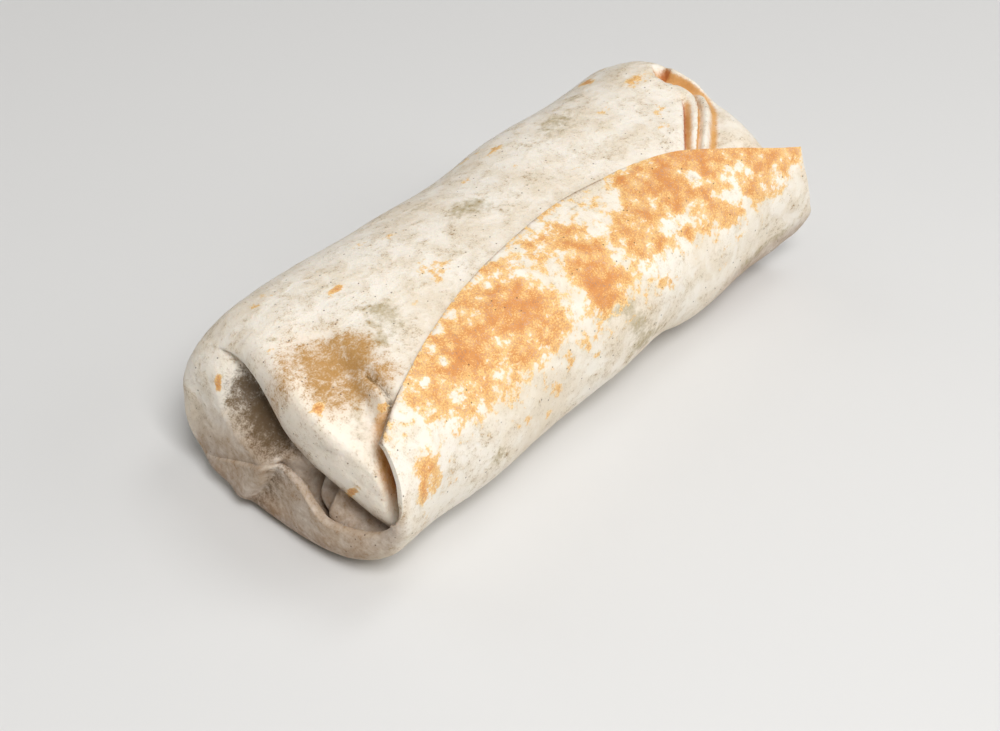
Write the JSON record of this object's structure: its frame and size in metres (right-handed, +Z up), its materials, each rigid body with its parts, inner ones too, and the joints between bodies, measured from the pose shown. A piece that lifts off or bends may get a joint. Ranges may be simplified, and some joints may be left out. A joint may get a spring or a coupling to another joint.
{
  "type": "burrito",
  "caption": "Whole uncut burrito rolled in one flour tortilla, lying on its side, with a tucked end and an overlapping flap along the top.",
  "frame": {"origin": "centre of the bounding box, at the bottom, where the roll rests", "axes": "+X along the roll from the tucked end to the open-cornered end, +Z up, -Y the side that the flap comes down on"},
  "size_m": [0.1772, 0.0782, 0.0515],
  "materials": {
    "tortilla": "matt floury bread with toasted spots"
  },
  "bodies": {
    "root": {"tortilla_wrap": "tortilla"}
  },
  "joints": []
}
